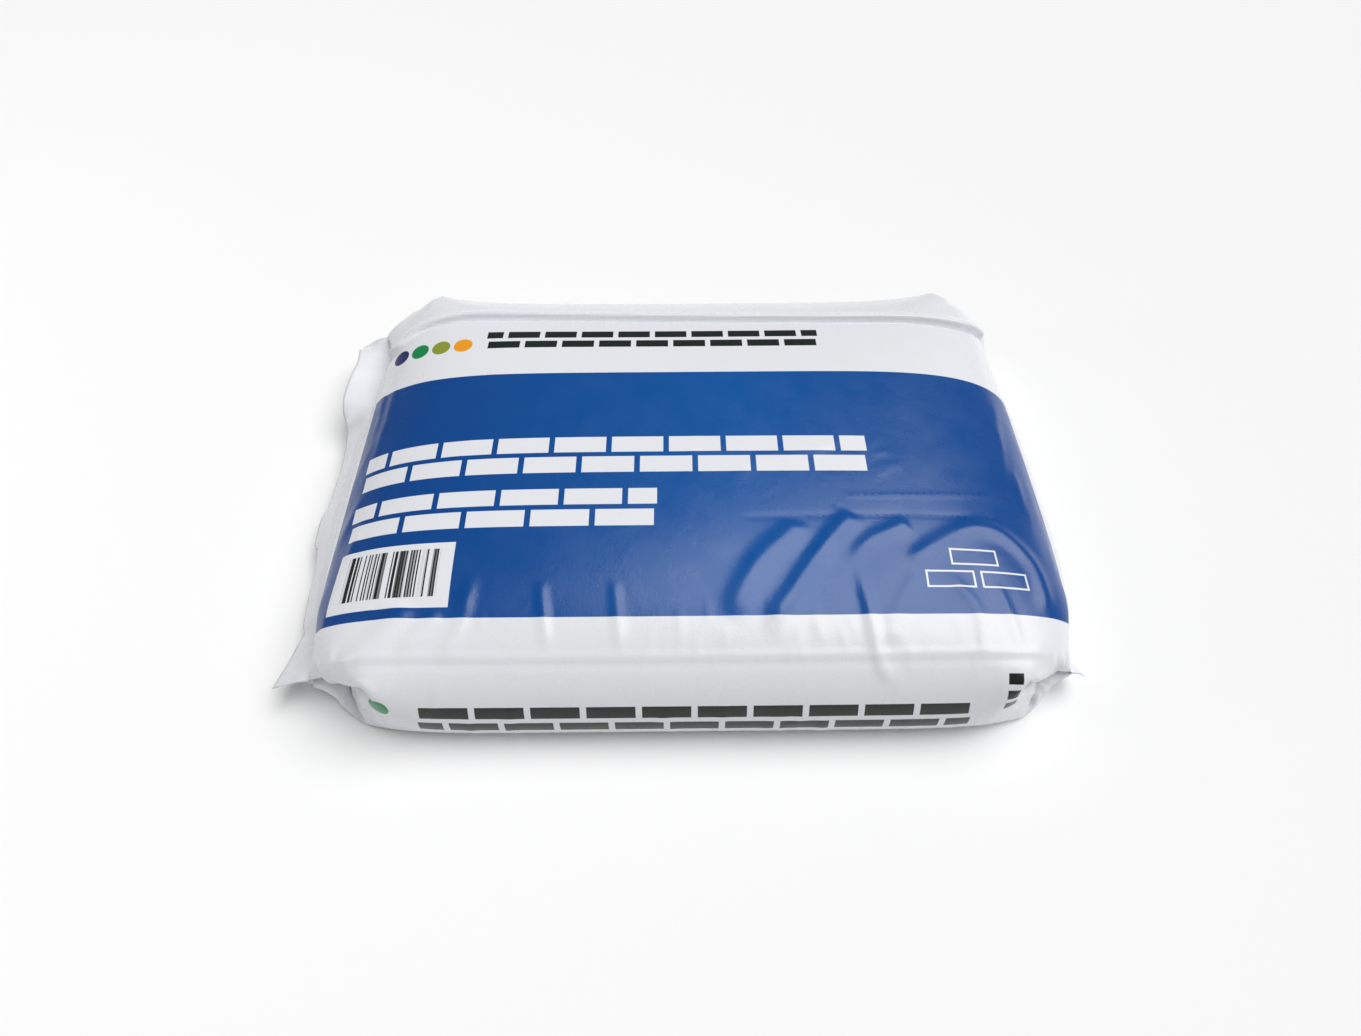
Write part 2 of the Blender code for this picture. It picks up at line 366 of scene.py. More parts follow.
@dataclass
class FilmSkin:
    """The film tube as a fine mesh, with its place in the flat film as UV."""

    solver: FilmSolver
    shift: tuple[float, float]
    tucks: tuple["CornerTuck", ...]
    panel_steps: int = 147
    gusset_steps: int = 21
    row_steps: int = 246

    def steps(self, panel: Panel) -> int:
        """How many mesh columns a panel has."""
        return self.panel_steps if panel.is_flat else self.gusset_steps

    def panel_points(self) -> list[np.ndarray]:
        """The solved film resampled panel by panel, so that its creases stay sharp."""
        grid = self.solver.points
        closed = np.concatenate([grid, grid[:, :1]], axis=1)
        parts, start = [], 0
        for panel in Panel:
            count = round(self.solver.tube.breadth(panel) / self.solver.pitch)
            part = closed[:, start:start + count + 1].swapaxes(0, 1)
            part = cubic_places(part, self.steps(panel)).swapaxes(0, 1)
            parts.append(cubic_places(part, self.row_steps))
            start += count
        return parts

    def flat_places(self) -> np.ndarray:
        """How far round the film each column lies, from the middle of the top panel."""
        tube = self.solver.tube
        places, start = [], -tube.width / 2
        for panel in Panel:
            breadth, count = tube.breadth(panel), self.steps(panel)
            places.append(start + np.arange(count) * breadth / count)
            start += breadth
        return np.concatenate(places)

    def meeting_columns(self) -> np.ndarray:
        """For each column, the one that it is welded to in the end rows."""
        across, deep = self.panel_steps, self.gusset_steps
        count = 2 * across + 4 * deep
        twin = np.arange(count)
        back_top, back_bottom, front_bottom = across, across + 2 * deep, 2 * across + 2 * deep
        for step in range(deep + 1):
            twin[(-step) % count] = step
            twin[back_top + step] = back_top - step
            twin[back_bottom - step] = back_bottom + step
            twin[(front_bottom + step) % count] = front_bottom - step
        for step in range(deep, across - deep + 1):
            twin[front_bottom - step] = step
        twin[back_top + deep] = back_top - deep
        twin[front_bottom + deep] = deep
        return twin

    def shaped_grid(self, wrinkles: "WrinkleField") -> np.ndarray:
        """The film's points in place, with its small folds.

        Args:
            wrinkles: The small folds that stand out of the solved film.

        Returns:
            Rows from weld to weld, columns from the front top crease.
        """
        grid = np.concatenate([part[:, :-1] for part in self.panel_points()], axis=1)
        grid[..., :2] += np.array(self.shift)
        for tuck in self.tucks:
            grid = tuck.apply(grid, self)
        grid = wrinkles.raise_film(grid, self.row_places(), self.flat_places())
        grid[..., 2] = np.maximum(grid[..., 2], 0.0)
        twin = self.meeting_columns()
        for row in (0, -1):
            grid[row] = grid[row][twin]
        return grid

    def row_places(self) -> np.ndarray:
        """How far along the film each row lies, from the middle."""
        return np.linspace(-0.5, 0.5, self.row_steps + 1) * self.solver.tube.length

    def build(self, name: str, grid: np.ndarray) -> bpy.types.Object:
        """Make the film's mesh.

        Args:
            name: The new object's name.
            grid: The film's points.

        Returns:
            A closed mesh, welded shut at both ends.
        """
        rows, columns = grid.shape[:2]
        skipped = (self.row_steps + 1 - rows) // 2
        index = np.arange(rows * columns).reshape(rows, columns)
        twin = self.meeting_columns()
        for row in (0, -1):
            index[row] = index[row][twin]
        ahead = np.roll(index, -1, axis=1)
        quads = np.stack([index[1:], ahead[1:], ahead[:-1], index[:-1]], axis=-1).reshape(-1, 4)
        used, renumbered = np.unique(quads, return_inverse=True)
        mesh = bpy.data.meshes.new(name)
        mesh.from_pydata(grid.reshape(-1, 3)[used], [], renumbered.reshape(-1, 4).tolist())
        along, around = self.row_places()[skipped:], self.flat_places()
        edge = np.append(around, 2 * around[-1] - around[-2])
        first = np.repeat(np.arange(rows - 1), columns)
        column = np.tile(np.arange(columns), rows - 1)
        far, near = along[first + 1], along[first]
        here, there = edge[column], edge[column + 1]
        write_film_places(mesh, self.solver.tube, np.stack([far, far, near, near], axis=-1),
                          np.stack([here, there, there, here], axis=-1))
        return add_mesh_object(name, mesh)


def add_mesh_object(name: str, mesh: bpy.types.Mesh) -> bpy.types.Object:
    """Put a mesh in the scene as a smooth-shaded object at the origin.

    Args:
        name: The object's name.
        mesh: The finished mesh.

    Returns:
        The new object.
    """
    mesh.validate()
    mesh.shade_smooth()
    mesh.update()
    item = bpy.data.objects.new(name, mesh)
    bpy.context.scene.collection.objects.link(item)
    return item


def write_film_places(mesh: bpy.types.Mesh, tube: FilmTube, along: np.ndarray, around: np.ndarray) -> None:
    """Store each face corner's place in the flat film as UV, from 0 to 1 each way.

    Args:
        mesh: A mesh of quads.
        tube: The film tube.
        along: For each quad, its corners' places along the film, from the middle.
        around: For each quad, its corners' places round the film, from the middle of the top.
    """
    turn = around / tube.girth + 0.5
    turn = turn - np.floor(turn.min(axis=1, keepdims=True) + 1e-6)
    corners = np.stack([along / FLAT_SPAN + 0.5, turn], axis=-1)
    layer = mesh.uv_layers.new(name=FILM_UV)
    layer.data.foreach_set("uv", corners.reshape(-1).astype(np.float32))


def outward_normals(grid: np.ndarray) -> np.ndarray:
    """Unit normals of a tube of points, pointing out of it.

    Args:
        grid: Rows from weld to weld, columns once round.

    Returns:
        One normal for each point.
    """
    closed = np.concatenate([grid[:, -1:], grid, grid[:, :1]], axis=1)
    normal = np.cross(np.gradient(grid, axis=0), (closed[:, 2:] - closed[:, :-2]) / 2)
    return normal / np.maximum(np.linalg.norm(normal, axis=-1, keepdims=True), 1e-12)


@dataclass(frozen=True)
class CreaseGroup:
    """Short folds of the film that share a place and a heading.

    Places and sizes are in millimetres on the flat film, headings in degrees from its
    length.
    """

    along: float
    around: float
    spread_along: float
    spread_around: float
    heading: float
    heading_spread: float
    count: int
    length: float
    width: float
    height: float

    def heights(self, x: np.ndarray, y: np.ndarray, rng: np.random.Generator) -> np.ndarray:
        """How far the folds stand out at each point.

        Args:
            x: Places along the film.
            y: Places round the film.
            rng: Where the folds' differences come from.

        Returns:
            Heights in millimetres.
        """
        total = np.zeros(np.broadcast(x, y).shape)
        for _ in range(self.count):
            shift_x, shift_y, turn, grow, tall = rng.uniform(-1, 1, 5)
            angle = math.radians(self.heading + turn * self.heading_spread)
            dx = x - self.along - shift_x * self.spread_along
            dy = y - self.around - shift_y * self.spread_around
            lengthwise = dx * math.cos(angle) + dy * math.sin(angle)
            sideways = dy * math.cos(angle) - dx * math.sin(angle)
            sideways = sideways + 0.06 * lengthwise * np.sin(lengthwise / self.length * 2 + 3 * grow)
            length = self.length * (1 + 0.4 * grow)
            fade = np.clip(1 - (2 * lengthwise / length) ** 2, 0, 1) ** 1.5
            width = self.width * (1 + 0.3 * tall)
            total += self.height * (0.7 + 0.3 * tall) * fade * np.exp(-(sideways / width) ** 2)
        return total


@dataclass(frozen=True)
class LongFold:
    """One fold that follows a line on the flat film, in millimetres.

    A positive height stands out of the film and a negative one is a groove.
    """

    line: tuple[tuple[float, float], ...]
    width: float
    height: float
    fade: float = 0.25
    lean: float = 0.0
    pieces: int = 5

    def shares(self, x: np.ndarray, y: np.ndarray) -> np.ndarray:
        """How strong the fold is at each point.

        Args:
            x: Places along the film.
            y: Places round the film.

        Returns:
            Shares from nought to one.
        """
        route = cubic_places(np.array(self.line, dtype=float), self.pieces * (len(self.line) - 1))
        nearest = np.full(np.broadcast(x, y).shape, np.inf)
        reached = np.zeros(nearest.shape)
        for number, (start, stop) in enumerate(zip(route[:-1], route[1:])):
            step = stop - start
            share = ((x - start[0]) * step[0] + (y - start[1]) * step[1]) / (step @ step)
            share = np.clip(share, 0, 1)
            away = (x - start[0] - share * step[0]) ** 2 + (y - start[1] - share * step[1]) ** 2
            closer = away < nearest
            nearest = np.where(closer, away, nearest)
            reached = np.where(closer, number + share, reached)
        from_end = np.minimum(reached, len(route) - 1 - reached) / (len(route) - 1)
        strength = np.clip(from_end / self.fade, 0, 1)
        strength = strength * strength * (3 - 2 * strength)
        return strength * np.exp(-nearest / self.width ** 2)


@dataclass
class WrinkleField:
    """The small folds that stand out of the smooth film."""

    seed: int
    groups: tuple[CreaseGroup, ...]
    lines: tuple[LongFold, ...]
    tube: FilmTube
    weld_fade: float = 0.012

    def moves(self, along: np.ndarray, around: np.ndarray) -> tuple[np.ndarray, np.ndarray]:
        """How far the film stands out, and how far it slides round, at each point.

        Args:
            along: The place of each row.
            around: The place of each column.

        Returns:
            Heights and slides in metres.
        """
        rng = np.random.default_rng(self.seed)
        half = self.tube.girth / 2
        turned = (around + half) % (2 * half) - half
        x, y = along[:, None] / MM, turned[None, :] / MM
        heights = np.zeros((len(along), len(around)))
        slides = np.zeros(heights.shape)
        for group in self.groups:
            heights += group.heights(x, y, rng)
        for line in self.lines:
            share = line.shares(x, y)
            heights += line.height * share
            slides += line.lean * share
        return heights * MM, slides * MM

    def raise_film(self, grid: np.ndarray, along: np.ndarray, around: np.ndarray) -> np.ndarray:
        """Move the film's points by the folds.

        Args:
            grid: The film's points.
            along: The place of each row.
            around: The place of each column.

        Returns:
            The moved points.
        """
        depth = np.abs(along[-1]) - np.abs(along)
        fade = np.clip(depth / self.weld_fade, 0, 1)[:, None, None]
        heights, slides = self.moves(along, around)
        round_film = np.roll(grid, -1, axis=1) - np.roll(grid, 1, axis=1)
        round_film /= np.maximum(np.linalg.norm(round_film, axis=-1, keepdims=True), 1e-12)
        return grid + (outward_normals(grid) * heights[..., None] + round_film * slides[..., None]) * fade


@dataclass(frozen=True)
class CornerTuck:
    """A corner of the sack that is pushed in towards its middle.

    The end is -1 at the left weld and 1 at the right one, the side -1 in front and 1 at
    the back.
    """

    end: int
    side: int
    push: tuple[float, float, float]
    reach: float

    def apply(self, grid: np.ndarray, skin: "FilmSkin") -> np.ndarray:
        """Move the points near the corner.

        Args:
            grid: The film's points.
            skin: The film's mesh, for its columns.

        Returns:
            The moved points.
        """
        row = 0 if self.end < 0 else -1
        corner = grid[row, 0 if self.side < 0 else skin.panel_steps]
        near = np.clip(1 - np.linalg.norm(grid - corner, axis=-1) / self.reach, 0, 1)
        return grid + (near * near * (3 - 2 * near))[..., None] * np.array(self.push)


@dataclass
class MixFill:
    """The settled dry mix, smooth and close inside the film.

    It has dents of its own where the film is folded in deeply. Towards each weld its
    sections shrink, because the layers of film lie nearly flat on each other there and
    leave it no room.
    """

    dents: tuple[LongFold, ...]
    inset: float = 0.0014
    end_rows: int = 4
    nose: float = 0.070
    least_size: float = 0.05

    def grid(self, skin: FilmSkin) -> np.ndarray:
        """The mix's points, inside the film's.

        Args:
            skin: The film's mesh, for its shape without small folds.

        Returns:
            The points, without the rows next to the welds.
        """
        film = skin.shaped_grid(WrinkleField(0, (), self.dents, skin.solver.tube))
        drawn_in = film - outward_normals(film) * self.inset
        drawn_in[..., 2] = np.maximum(drawn_in[..., 2], self.inset)
        depth = skin.solver.tube.length / 2 - np.abs(skin.row_places())
        start = depth[self.end_rows]
        share = np.clip((depth - start) / (self.nose - start), 0, 1)
        size = self.least_size + (1 - self.least_size) * np.sin(share * math.pi / 2)
        middle = film.mean(axis=1, keepdims=True)
        shrunk = middle + (drawn_in - middle) * size[:, None, None]
        return shrunk[self.end_rows:-self.end_rows]


@dataclass(frozen=True)
class DryMix:
    """Loose sand and cement: a matt grey powder with grains of up to two millimetres."""

    name: str = "dry_sand_cement"
    cement: str = "#A8A49B"
    sand: str = "#8C8272"
    roughness: float = 0.95
    ior: float = 1.54
    grain: float = 1.2

    def build(self) -> bpy.types.Material:
        """Make the material.

        Returns:
            The new material.
        """
        material = bpy.data.materials.new(self.name)
        material.use_nodes = True
        tree = material.node_tree
        tree.nodes.clear()
        place = add_node(tree, "ShaderNodeTexCoord")
        grains = add_node(tree, "ShaderNodeTexVoronoi", {
            "Vector": place.outputs["Object"], "Scale": 1 / (self.grain * MM)})
        shade = add_node(tree, "ShaderNodeSeparateXYZ", {0: grains.outputs["Color"]})
        colour = add_node(tree, "ShaderNodeMix", {
            "Factor": shade.outputs["X"], 6: linear_colour(self.cement), 7: linear_colour(self.sand)},
            data_type="RGBA")
        bump = add_node(tree, "ShaderNodeBump", {
            "Height": grains.outputs["Distance"], "Strength": 0.6, "Distance": self.grain * MM},
            invert=True)
        shader = add_node(tree, "ShaderNodeBsdfPrincipled", {
            "Base Color": colour.outputs[2], "Roughness": self.roughness, "IOR": self.ior,
            "Normal": bump.outputs["Normal"]})
        add_node(tree, "ShaderNodeOutputMaterial", {"Surface": shader.outputs["BSDF"]})
        return material


@dataclass(frozen=True)
class FinKnot:
    """A fin's size and hang at one place across the flat tube."""

    across: float
    length: float
    droop: float


@dataclass
class WeldFin:
    """The fin of film past one weld: its welded layers as one thin slab."""

    side: int
    knots: tuple[FinKnot, ...]
    thickness: float = 0.0006
    root: float = 0.0020
    stations: int = 16
    bend_length: float = 0.010
    smoothing: int = 9

    def fields(self, across: np.ndarray) -> tuple[np.ndarray, np.ndarray]:
        """Length and droop of the fin at each place across the tube.

        Args:
            across: Places across the flat tube.

        Returns:
            Lengths in metres and droops in radians.
        """
        places = [knot.across for knot in self.knots]
        lengths = np.interp(across, places, [knot.length for knot in self.knots])
        droops = np.interp(across, places, [math.radians(knot.droop) for knot in self.knots])
        spread = np.hanning(self.smoothing + 2)[1:-1]
        edged = np.pad(droops, self.smoothing // 2, mode="edge")
        return lengths, np.convolve(edged, spread / spread.sum(), mode="valid")

    def layers(self, weld: np.ndarray, across: np.ndarray) -> tuple[np.ndarray, np.ndarray, np.ndarray]:
        """Upper and lower points of the fin.

        Args:
            weld: Points of the weld from front to back.
            across: Their places across the flat tube.

        Returns:
            Upper points, lower points, and the distance out from the weld of each.
        """
        lengths, droops = self.fields(across)
        share = np.linspace(0, 1, self.stations)
        out = -self.root + (lengths[:, None] + self.root) * share
        middle = np.zeros((len(weld), self.stations, 3))
        middle[:, 0] = weld
        middle[:, 0, 0] -= self.side * self.root
        angles = droops[:, None] * np.clip(out / self.bend_length, 0, 1)
        step = np.diff(out, axis=1)
        turn = (angles[:, 1:] + angles[:, :-1]) / 2
        middle[:, 1:, 0] = middle[:, :1, 0] + self.side * np.cumsum(step * np.cos(turn), axis=1)
        middle[:, 1:, 1] = middle[:, :1, 1]
        middle[:, 1:, 2] = middle[:, :1, 2] - np.cumsum(step * np.sin(turn), axis=1)
        middle[..., 2] = np.maximum(middle[..., 2], self.thickness)
        normal = np.stack([self.side * np.sin(angles), 0 * angles, np.cos(angles)], axis=-1)
        half = self.thickness / 2
        return middle + half * normal, middle - half * normal, out

    def build(self, name: str, weld: np.ndarray, across: np.ndarray, tube: FilmTube) -> bpy.types.Object:
        """Make the fin's mesh.

        Args:
            name: The new object's name.
            weld: Points of the weld from front to back.
            across: Their places across the flat tube.
            tube: The film tube.

        Returns:
            A closed thin slab.
        """
        upper, lower, out = self.layers(weld, across)
        rows, stations = out.shape
        index = np.arange(2 * rows * stations).reshape(2, rows, stations)
        over, under = index
        ring = np.concatenate([over, under[:, ::-1]], axis=1)
        places = np.concatenate([out, out[:, ::-1]], axis=1) + tube.length / 2
        ahead = np.roll(ring, -1, axis=1)
        sides = np.stack([ring[:-1], ahead[:-1], ahead[1:], ring[1:]], axis=-1).reshape(-1, 4)
        ends = []
        for row, turned in ((0, 1), (-1, -1)):
            end = np.stack([over[row, :-1], under[row, :-1], under[row, 1:], over[row, 1:]], axis=-1)
            ends.append(end[:, ::turned])
        quads = np.concatenate([sides] + ends)
        points = np.concatenate([upper.reshape(-1, 3), lower.reshape(-1, 3)])
        flat_along = self.side * np.concatenate([out.reshape(-1), out.reshape(-1)]) + \
            self.side * tube.length / 2
        flat_around = np.tile(np.repeat(across, stations), 2)
        mesh = bpy.data.meshes.new(name)
        mesh.from_pydata(points, [], quads.tolist())
        write_film_places(mesh, tube, flat_along[quads], flat_around[quads])
        item = add_mesh_object(name, mesh)
        turn_outward(item)
        return item


def turn_outward(item: bpy.types.Object) -> None:
    """Make all faces of a closed mesh point outwards.

    Args:
        item: The object to turn.
    """
    work = bmesh.new()
    work.from_mesh(item.data)
    bmesh.ops.recalc_face_normals(work, faces=work.faces)
    work.to_mesh(item.data)
    work.free()
    item.data.update()


@dataclass(frozen=True)
class Area:
    """A rectangle of the flat film, in millimetres from the middle of the top panel."""

    along: float
    around: float
    length: float
    height: float


class Ink(Enum):
    """The colours on the film, as sRGB hex values."""

    WHITE = "#E9EBF0"
    BLUE = "#00509B"
    BLACK = "#17211F"
    NAVY = "#1D2A63"
    GREEN = "#0E8A4A"
    OLIVE = "#8E9A33"
    ORANGE = "#F2A01E"


class Figure(Enum):
    """The shapes that a mark can have."""

    FULL = "the whole rectangle"
    BRICKS = "two courses of bricks in running bond"
    BARS = "upright bars of uneven breadth"
    DISC = "a round dot"
    OUTLINE = "a thin line round the rectangle"


@dataclass(frozen=True)
class Mark:
    """One printed figure. Sizes are in millimetres.

    The pitch is from one brick to the next, or the breadth of the thinnest bar. The
    stroke is the joint between bricks, or the thickness of an outline.
    """

    figure: Figure
    ink: Ink
    area: Area
    pitch: float = 1.0
    stroke: float = 1.0


@dataclass
class PrintingPlate:
    """Draws marks on the flat film in a material's tree.

    Each figure is a socket that tells how deep inside it a point lies, in millimetres,
    and is below nought outside it.
    """

    tree: bpy.types.NodeTree
    place: bpy.types.NodeSocket
    bleed: float = 0.15

    def box_depth(self, place: bpy.types.NodeSocket, length: float, height: float) -> bpy.types.NodeSocket:
        """Depth inside a rectangle round nought.

        Args:
            place: Where the point lies, from the rectangle's middle.
            length: The rectangle's size along the film.
            height: Its size round the film.

        Returns:
            The depth's socket.
        """
        away = add_node(self.tree, "ShaderNodeVectorMath", {0: place}, operation="ABSOLUTE")
        room = add_node(self.tree, "ShaderNodeVectorMath", {
            0: (length / 2, height / 2, 0), 1: away.outputs[0]}, operation="SUBTRACT")
        parts = add_node(self.tree, "ShaderNodeSeparateXYZ", {0: room.outputs[0]})
        nearer = add_node(self.tree, "ShaderNodeMath", {
            0: parts.outputs["X"], 1: parts.outputs["Y"]}, operation="MINIMUM")
        return nearer.outputs[0]

    def brick_depth(self, place: bpy.types.NodeSocket, mark: Mark) -> bpy.types.NodeSocket:
        """Depth inside the bricks of two courses, the upper one half a brick over.

        Args:
            place: Where the point lies, from the mark's middle.
            mark: The bricks' mark.

        Returns:
            The depth's socket.
        """
        area, course = mark.area, mark.area.height / 2
        parts = add_node(self.tree, "ShaderNodeSeparateXYZ", {0: place})
        upper = add_node(self.tree, "ShaderNodeMath", {0: parts.outputs["Y"], 1: 0.0}, operation="GREATER_THAN")
        along = add_node(self.tree, "ShaderNodeMath", {
            0: upper.outputs[0], 1: mark.pitch / 2, 2: parts.outputs["X"]}, operation="MULTIPLY_ADD")
        cell = add_node(self.tree, "ShaderNodeMath", {
            0: along.outputs[0], 1: -mark.pitch / 2, 2: mark.pitch / 2}, operation="WRAP")
        row = add_node(self.tree, "ShaderNodeMath", {
            0: parts.outputs["Y"], 1: 0.0, 2: course}, operation="WRAP")
        middle = add_node(self.tree, "ShaderNodeMath", {0: row.outputs[0], 1: course / 2}, operation="SUBTRACT")
        brick = add_node(self.tree, "ShaderNodeCombineXYZ", {"X": cell.outputs[0], "Y": middle.outputs[0]})
        inside = self.box_depth(brick.outputs[0], mark.pitch - mark.stroke, course - mark.stroke)
        depth = add_node(self.tree, "ShaderNodeMath", {
            0: inside, 1: self.box_depth(place, area.length, area.height)}, operation="MINIMUM")
        return depth.outputs[0]

    def bar_depth(self, place: bpy.types.NodeSocket, mark: Mark) -> bpy.types.NodeSocket:
        """Depth inside a rectangle of upright bars.

        Args:
            place: Where the point lies, from the mark's middle.
            mark: The bars' mark.

        Returns:
            The depth's socket.
        """
        parts = add_node(self.tree, "ShaderNodeSeparateXYZ", {0: place})
        count = add_node(self.tree, "ShaderNodeMath", {0: parts.outputs["X"], 1: mark.pitch}, operation="DIVIDE")
        whole = add_node(self.tree, "ShaderNodeMath", {0: count.outputs[0]}, operation="FLOOR")
        chance = add_node(self.tree, "ShaderNodeTexWhiteNoise", {"W": whole.outputs[0]}, noise_dimensions="1D")
        dark = add_node(self.tree, "ShaderNodeMath", {0: chance.outputs["Value"], 1: 0.45}, operation="SUBTRACT")
        area = mark.area
        depth = add_node(self.tree, "ShaderNodeMath", {
            0: dark.outputs[0], 1: self.box_depth(place, area.length, area.height)}, operation="MINIMUM")
        return depth.outputs[0]

    def disc_depth(self, place: bpy.types.NodeSocket, mark: Mark) -> bpy.types.NodeSocket:
        """Depth inside a round dot as wide as the mark.

        Args:
            place: Where the point lies, from the mark's middle.
            mark: The dot's mark.

        Returns:
            The depth's socket.
        """
        away = add_node(self.tree, "ShaderNodeVectorMath", {0: place}, operation="LENGTH")
        depth = add_node(self.tree, "ShaderNodeMath", {
            0: mark.area.length / 2, 1: away.outputs["Value"]}, operation="SUBTRACT")
        return depth.outputs[0]

    def outline_depth(self, place: bpy.types.NodeSocket, mark: Mark) -> bpy.types.NodeSocket:
        """Depth inside a thin line along a rectangle's edge.

        Args:
            place: Where the point lies, from the mark's middle.
            mark: The line's mark.

        Returns:
            The depth's socket.
        """
        area = mark.area
        inside = self.box_depth(place, area.length, area.height)
        left = add_node(self.tree, "ShaderNodeMath", {0: mark.stroke, 1: inside}, operation="SUBTRACT")
        depth = add_node(self.tree, "ShaderNodeMath", {0: inside, 1: left.outputs[0]}, operation="MINIMUM")
        return depth.outputs[0]

    def cover(self, mark: Mark) -> bpy.types.NodeSocket:
        """How much of a point a mark's ink covers.

        Args:
            mark: The mark.

        Returns:
            A socket from nought to one.
        """
        area = mark.area
        seen = add_node(self.tree, "ShaderNodeVectorMath", {
            0: self.place, 1: (area.along, area.around, 0)}, operation="SUBTRACT")
        place = seen.outputs[0]
        if mark.figure is Figure.BRICKS:
            depth = self.brick_depth(place, mark)
        elif mark.figure is Figure.BARS:
            depth = self.bar_depth(place, mark)
        elif mark.figure is Figure.DISC:
            depth = self.disc_depth(place, mark)
        elif mark.figure is Figure.OUTLINE:
            depth = self.outline_depth(place, mark)
        else:
            depth = self.box_depth(place, area.length, area.height)
        edge = add_node(self.tree, "ShaderNodeMapRange", {
            "Value": depth, "From Min": -self.bleed, "From Max": self.bleed})
        return edge.outputs["Result"]


@dataclass(frozen=True)
class PrintedFilm:
    """White pigmented low-density polyethylene, blown as a tube and printed in blue.

    A milky film with a soft uneven gloss. Grains of the mix press through it, and it
    holds fine creases from handling.
    """

    marks: tuple[Mark, ...]
    name: str = "printed_ldpe_film"
    # Painted light and shade: the blue is mixed from a lit tone at 30 mm right of the middle to a shaded tone
    # towards both ends, darkest at the left, where less light falls.
    shaded_blue: str = "#003C83"
    lit_blue: str = "#0054A0"
    painted_light_place: float = 30.0
    painted_shade_reach: float = 330.0
    ior: float = 1.51
    least_roughness: float = 0.22
    most_roughness: float = 0.34
    grain_size: float = 1.5
    grain_height: float = 0.09
    crease_size: float = 13.0
    crease_height: float = 0.25
    sheen_patch: float = 30.0

    def build(self, tube: FilmTube) -> bpy.types.Material:
        """Make the material.

        Args:
            tube: The film tube, for its flat measurements.

        Returns:
            The new material.
        """
        material = bpy.data.materials.new(self.name)
        material.use_nodes = True
        tree = material.node_tree
        tree.nodes.clear()
        flat = add_node(tree, "ShaderNodeUVMap", uv_map=FILM_UV)
        place = add_node(tree, "ShaderNodeMapping", {
            "Vector": flat.outputs["UV"],
            "Location": (-FLAT_SPAN / MM / 2, -tube.girth / MM / 2, 0),
            "Scale": (FLAT_SPAN / MM, tube.girth / MM, 1)})
        flat_place = place.outputs["Vector"]
        patches = add_node(tree, "ShaderNodeTexNoise", {
            "Vector": flat_place, "Scale": 1 / self.sheen_patch, "Detail": 3.0})
        gloss = add_node(tree, "ShaderNodeMapRange", {
            "Value": patches.outputs[0], "From Min": 0.3, "From Max": 0.7,
            "To Min": self.least_roughness, "To Max": self.most_roughness})
        shader = add_node(tree, "ShaderNodeBsdfPrincipled", {
            "Base Color": self.printed_colour(tree, flat_place), "Roughness": gloss.outputs["Result"],
            "IOR": self.ior, "Normal": self.surface_relief(tree, flat_place)})
        add_node(tree, "ShaderNodeOutputMaterial", {"Surface": shader.outputs["BSDF"]})
        return material

    def printed_colour(self, tree: bpy.types.NodeTree, place: bpy.types.NodeSocket) -> bpy.types.NodeSocket:
        """The whole print, with painted light and shade in its blue: lighter near the middle, darker towards the
        ends.

        Args:
            tree: The material's tree.
            place: Socket of the place on the flat film, in millimetres.

        Returns:
            The colour's socket.
        """
        parts = add_node(tree, "ShaderNodeSeparateXYZ", {0: place})
        # Painted shade: the blue darkens with distance from the lit place, as light falls from the right.
        aside = add_node(tree, "ShaderNodeMath", {0: parts.outputs["X"], 1: self.painted_light_place},
                         operation="SUBTRACT")
        away = add_node(tree, "ShaderNodeMath", {0: aside.outputs[0]}, operation="ABSOLUTE")
        painted_light_share = add_node(tree, "ShaderNodeMapRange", {
            "Value": away.outputs[0], "From Min": self.painted_shade_reach, "From Max": 0.0})
        blue = add_node(tree, "ShaderNodeMix", {
            "Factor": painted_light_share.outputs["Result"], 6: linear_colour(self.shaded_blue),
            7: linear_colour(self.lit_blue)}, data_type="RGBA").outputs[2]
        plate = PrintingPlate(tree, place)
        colour = linear_colour(Ink.WHITE.value)
        for mark in self.marks:
            ink = blue if mark.ink is Ink.BLUE else linear_colour(mark.ink.value)
            colour = add_node(tree, "ShaderNodeMix", {"Factor": plate.cover(mark), 6: colour, 7: ink},
                              data_type="RGBA").outputs[2]
        return colour

    def surface_relief(self, tree: bpy.types.NodeTree, place: bpy.types.NodeSocket) -> bpy.types.NodeSocket:
        """The grains that press through the film, over its fine creases.

        Args:
            tree: The material's tree.
            place: Socket of the place on the flat film, in millimetres.

        Returns:
            The normal's socket.
        """
        creases = add_node(tree, "ShaderNodeTexNoise", {
            "Vector": place, "Scale": 1 / self.crease_size, "Detail": 3.0, "Distortion": 0.6})
        creased = add_node(tree, "ShaderNodeBump", {
            "Height": creases.outputs[0], "Strength": 0.5, "Distance": self.crease_height * MM})
        grains = add_node(tree, "ShaderNodeTexNoise", {
            "Vector": place, "Scale": 1 / self.grain_size, "Detail": 2.0})
        grained = add_node(tree, "ShaderNodeBump", {
            "Height": grains.outputs[0], "Strength": 0.7, "Distance": self.grain_height * MM,
            "Normal": creased.outputs["Normal"]})
        return grained.outputs["Normal"]


@dataclass(frozen=True)
class VentRow:
    """A straight row of vent pricks on the flat film, in millimetres."""

    start: tuple[float, float]
    stop: tuple[float, float]
    pitch: float


